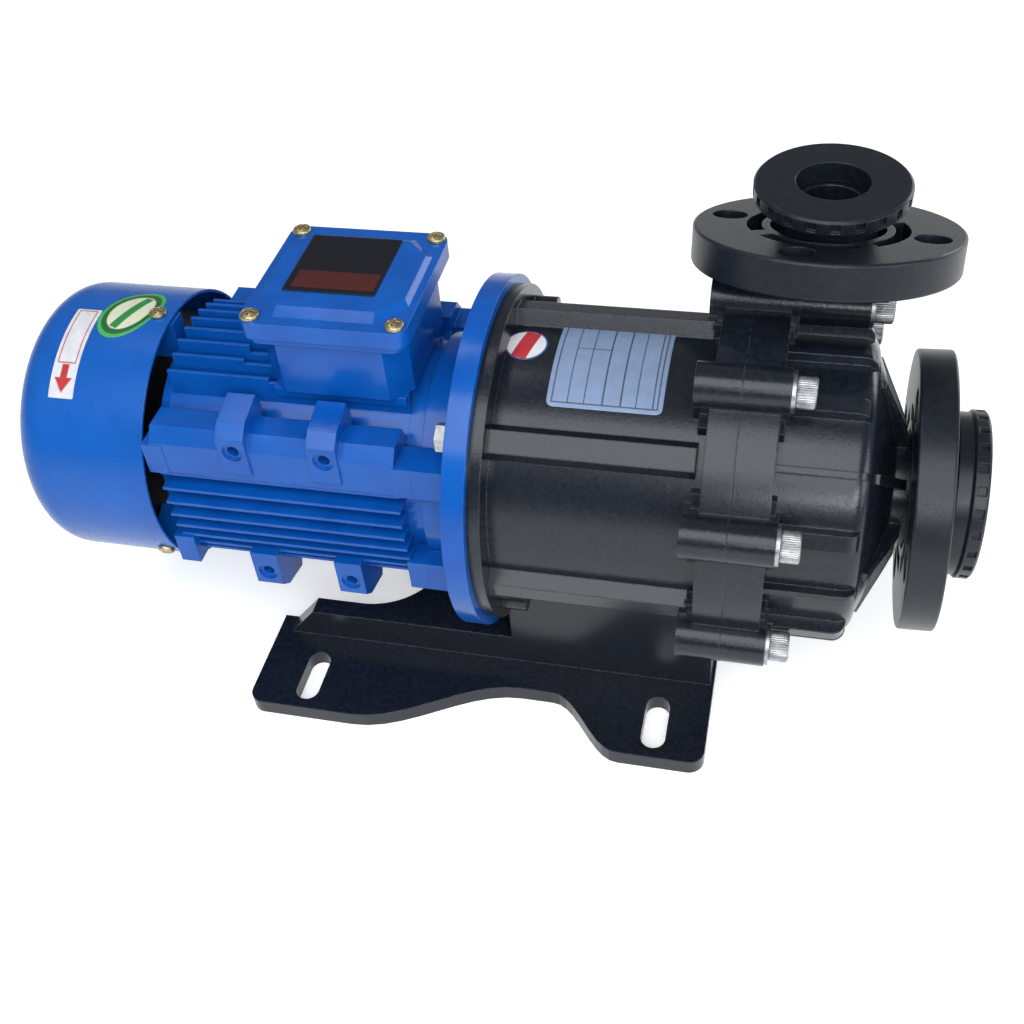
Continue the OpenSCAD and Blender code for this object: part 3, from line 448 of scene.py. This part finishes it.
# printed vinyl film: white label, red frame, and one red arrow that shows which way the shaft turns
turnLabel = {"x": -0.2293, "angle": 67.4, "radius": 0.0795, "half": (7.5, 29.1), "corner": 0.8, "step": 0.3,
             "thickness": 0.00025, "tipEnd": -27.0, "tipSlope": 0.62, "tip": (0, -22.2, 6, 4.8),
             "stem": (0, -13.6, 2.1, 4.0), "frame": (0, 9.5, 5.6, 18.5), "field": (0, 9.5, 4.9, 17.8),
             "base": "#dfdfe2", "ink": "#c1322f", "rub": 0.2}
px, py = cutSheet(turnLabel)
wedge = np.clip((py - turnLabel["tipEnd"]) * turnLabel["tipSlope"] - np.abs(px), 0, 1)
arrow = np.maximum(wedge * block(px, py, *turnLabel["tip"]), block(px, py, *turnLabel["stem"]))
border = block(px, py, *turnLabel["frame"]) - block(px, py, *turnLabel["field"])
inks = layInk(plainInk(px.shape, turnLabel["base"]), np.maximum(arrow, border), turnLabel["ink"])
vinyl = makePrint("printed_vinyl_film", {"IOR": 1.5}, turnLabel["rub"])
curvedLabel("turnLabel", turnLabel, px, py, inks, vinyl)


def discGrid(spec):
    # rings of an ellipse, share s of the way out and angle t round it, turned on its cylinder, in millimetres
    middle, columns = 0.02, 192   # share at the innermost ring, and points to a ring
    turns = np.linspace(0, fullTurn, columns, endpoint=False)
    s, t = np.meshgrid(np.linspace(middle, 1, spec["rings"]), turns, indexing="ij")
    along, around = s * np.cos(t) * spec["long"], s * np.sin(t) * spec["short"]
    c, d = math.cos(math.radians(spec["turn"])), math.sin(math.radians(spec["turn"]))
    return s, along, around, along * c - around * d, along * d + around * c


# paper seal under film: white disc, thin blue rim, one plain red band across it
sealSticker = {"x": 0.0245, "angle": 86.5, "radius": 0.0810, "long": 11.5, "short": 11.5, "turn": 76,
               "rings": 44, "thickness": 0.0002, "rimStart": 0.9, "rimFade": 0.03, "bandHalf": (10.4, 4.2),
               "base": "#e2e0e2", "rim": "#274a86", "band": "#b92f35", "rub": 0.14}
s, along, around, px, py = discGrid(sealSticker)
rim = np.clip((s - sealSticker["rimStart"]) / sealSticker["rimFade"], 0, 1)
inks = layInk(plainInk(s.shape, sealSticker["base"]), rim, sealSticker["rim"])
inks = layInk(inks, block(along, around, 0, 0, *sealSticker["bandHalf"]), sealSticker["band"])
paperSeal = makePrint("printed_paper_seal", {"IOR": 1.5}, sealSticker["rub"])
curvedLabel("sealSticker", sealSticker, px, py, inks, paperSeal, True)

# vinyl oval: bright green rim, dark green ring, cream field with a plain green band
ovalSticker = {"x": -0.2050, "angle": 89.6, "radius": 0.0795, "long": 22.4, "short": 15.4, "turn": 68,
               "rings": 52, "thickness": 0.0002, "ringStart": 0.7, "rimStart": 0.87, "fade": 0.02,
               "bandHalf": (15.0, 2.6),
               "base": "#dfe3c6", "rim": "#43b052", "ring": "#17612c", "band": "#2a8a3f", "rub": 0.14}
s, along, around, px, py = discGrid(ovalSticker)
inks = plainInk(s.shape, ovalSticker["base"])
for start, ink in (("ringStart", "ring"), ("rimStart", "rim")):
    inks = layInk(inks, np.clip((s - ovalSticker[start]) / ovalSticker["fade"], 0, 1), ovalSticker[ink])
inks = layInk(inks, block(along, around, 0, 0, *ovalSticker["bandHalf"]), ovalSticker["band"])
vinylOval = makePrint("printed_vinyl_oval", {"IOR": 1.5}, ovalSticker["rub"])
curvedLabel("ovalSticker", ovalSticker, px, py, inks, vinylOval, True)

# black polyester plate on the terminal lid with a plain maroon band
lidPlate = {"x": -0.07445, "y": 0.00645, "half": (25.3, 26.2), "corner": 0.8, "step": 0.8,
            "thickness": 0.0004, "bandPlace": (1.0, -15.0, 22.4, 7.6), "base": "#17171f", "band": "#4e2221",
            "rub": 0.1}
px, py = cutSheet(lidPlate)
inks = layInk(plainInk(px.shape, lidPlate["base"]), block(px, py, *lidPlate["bandPlace"]), lidPlate["band"])
lidTop = np.full_like(px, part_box("terminal_lid")[1].z + lift)
points = np.stack([lidPlate["x"] + px / 1000, lidPlate["y"] + py / 1000, lidTop], axis=-1)
polyester = makePrint("printed_black_polyester", {"IOR": 1.5, "Specular IOR Level": 0.2}, lidPlate["rub"])
piece = meshFromGrid("lidPlate", points[None], polyester, inks=inks[None])
thicken(piece, lidPlate["thickness"])
print("labels placed")

# floor: matt white paper, brightened only where it is seen or mirrored, so that it stays white and keeps the
# shadow; the camera sees it brighter far from the lamps, past nearEnd and fully at farStart metres
floorLook = {"half": 6.0, "colour": "#f2f2f0", "seenGlow": 0.46, "farGlow": 1.0, "nearEnd": 0.7,
             "farStart": 2.0}
u, v = np.meshgrid(np.linspace(-1, 1, 2), np.linspace(-1, 1, 2))
corners = np.stack([u, v, u * 0], axis=-1).reshape(-1, 3) * floorLook["half"]
floorMesh = bpy.data.meshes.new("floor")
floorMesh.from_pydata(corners.tolist(), [], [(0, 1, 3, 2)])
floor = bpy.data.objects.new("floor", floorMesh)
bpy.context.scene.collection.objects.link(floor)
paper = bpy.data.materials.new("matt_paper_floor")
paper.use_nodes = True
tree = paper.node_tree
tree.nodes.clear()
rays = addNode(tree, "ShaderNodeLightPath")
mirrored = addNode(tree, "ShaderNodeMath", {"operation": "MAXIMUM"},
                   {0: rays.outputs["Is Glossy Ray"], 1: rays.outputs["Is Transmission Ray"]})
place = addNode(tree, "ShaderNodeTexCoord").outputs["Object"]
away = addNode(tree, "ShaderNodeVectorMath", {"operation": "LENGTH"}, {0: place})
fade = addNode(tree, "ShaderNodeMapRange",
               {"From Min": floorLook["nearEnd"], "From Max": floorLook["farStart"],
                "To Min": floorLook["seenGlow"], "To Max": floorLook["farGlow"]},
               {"Value": away.outputs["Value"]})
reflected = addNode(tree, "ShaderNodeMath", {"operation": "MULTIPLY", 1: floorLook["seenGlow"]},
                    {0: mirrored.outputs[0]})
glow = addNode(tree, "ShaderNodeMath", {"operation": "MULTIPLY_ADD"},
               {0: rays.outputs["Is Camera Ray"], 1: fade.outputs["Result"], 2: reflected.outputs[0]})
paperShader = addNode(tree, "ShaderNodeBsdfPrincipled",
                      {"Base Color": linear(floorLook["colour"]), "Roughness": 0.9,
                       "Emission Color": (1, 1, 1, 1)}, {"Emission Strength": glow.outputs[0]})
addNode(tree, "ShaderNodeOutputMaterial", None, {"Surface": paperShader.outputs["BSDF"]})
floorMesh.materials.append(paper)

# world: an even, slightly blue room that lights the object; the camera sees white behind it, and glossy
# surfaces mirror that white only up to about the horizon; heights are the sine of the angle above it
studio = {"fill": 0.25, "wallTop": -0.02, "fadeTop": 0.04, "daylight": (0.92, 0.96, 1.0)}
world = bpy.data.worlds.new("studio")
bpy.context.scene.world = world
world.use_nodes = True
sky = world.node_tree
sky.nodes.clear()
room = addNode(sky, "ShaderNodeBackground", {"Color": (*studio["daylight"], 1.0), "Strength": studio["fill"]})
backdrop = addNode(sky, "ShaderNodeBackground", {"Color": (1.0, 1.0, 1.0, 1.0), "Strength": 1.0})
gaze = addNode(sky, "ShaderNodeTexCoord").outputs["Generated"]
way = addNode(sky, "ShaderNodeSeparateXYZ", None, {"Vector": gaze})
wall = addNode(sky, "ShaderNodeMapRange",
               {"From Min": studio["wallTop"], "From Max": studio["fadeTop"], "To Min": 1.0, "To Max": 0.0},
               {"Value": way.outputs["Z"]})
rays = addNode(sky, "ShaderNodeLightPath")
mirrored = addNode(sky, "ShaderNodeMath", {"operation": "MAXIMUM"},
                   {0: rays.outputs["Is Glossy Ray"], 1: rays.outputs["Is Transmission Ray"]})
reflected = addNode(sky, "ShaderNodeMath", {"operation": "MULTIPLY"},
                    {0: mirrored.outputs[0], 1: wall.outputs["Result"]})
seen = addNode(sky, "ShaderNodeMath", {"operation": "MAXIMUM"},
               {0: rays.outputs["Is Camera Ray"], 1: reflected.outputs[0]})
both = addNode(sky, "ShaderNodeMixShader", None,
               {0: seen.outputs[0], 1: room.outputs["Background"], 2: backdrop.outputs["Background"]})
addNode(sky, "ShaderNodeOutputWorld", None, {"Surface": both.outputs["Shader"]})

# lamps: place, aim, width and height in metres, watts
lamps = {"near": ((-0.05, -0.9, 1.4), (0.0, 0.0, 0.13), (1.5, 1.0), 19.0),
         "strip": ((0.6, -1.3, 0.9), (0.1, 0.0, 0.14), (0.9, 0.22), 8.0),
         "over": ((-0.6, 0.35, 1.6), (-0.07, 0.0, 0.24), (0.4, 0.4), 2.5),
         "far": ((1.2, 1.3, 0.6), (0.0, 0.0, 0.12), (1.0, 0.5), 7.0),
         "end": ((1.5, -0.5, 0.7), (0.2, 0.0, 0.13), (0.9, 0.6), 7.0)}
for name, (spot, aim, size, watts) in lamps.items():
    lamp = bpy.data.lights.new(name, "AREA")
    lamp.shape = "RECTANGLE"
    lamp.size, lamp.size_y = size
    lamp.energy = watts
    lamp.color = studio["daylight"]
    lampObject = bpy.data.objects.new(name, lamp)
    bpy.context.scene.collection.objects.link(lampObject)
    aimed = (Vector(aim) - Vector(spot)).to_track_quat("-Z", "Y").to_matrix().to_4x4()
    lampObject.matrix_world = Matrix.Translation(spot) @ aimed

# camera: fitted to the photograph; the frame is 1024 pixels wide
photoView = {"spot": (0.1608, -0.5151, 0.6043), "azimuth": 16.74, "elevation": 44.13, "roll": -5.83,
             "focalPixels": 1246.06, "framePixels": 1024, "sensorMm": 36.0}
az, el, roll = (math.radians(photoView[k]) for k in ("azimuth", "elevation", "roll"))
forward = Vector((-math.sin(az) * math.cos(el), math.cos(az) * math.cos(el), -math.sin(el)))
side = Vector((math.cos(az), math.sin(az), 0))
rise = side.cross(forward)
right = side * math.cos(roll) + rise * math.sin(roll)
up = rise * math.cos(roll) - side * math.sin(roll)
camera = bpy.data.cameras.new("photoCamera")
camera.sensor_width = photoView["sensorMm"]
camera.lens = photoView["focalPixels"] / photoView["framePixels"] * photoView["sensorMm"]
camera.clip_start = 0.01
cameraObject = bpy.data.objects.new("photoCamera", camera)
bpy.context.scene.collection.objects.link(cameraObject)
facing = Matrix((right, up, -forward)).transposed().to_4x4()
cameraObject.matrix_world = Matrix.Translation(photoView["spot"]) @ facing
bpy.context.scene.camera = cameraObject
bpy.context.scene.view_settings.view_transform = "Standard"
print("camera, lamps and floor set")
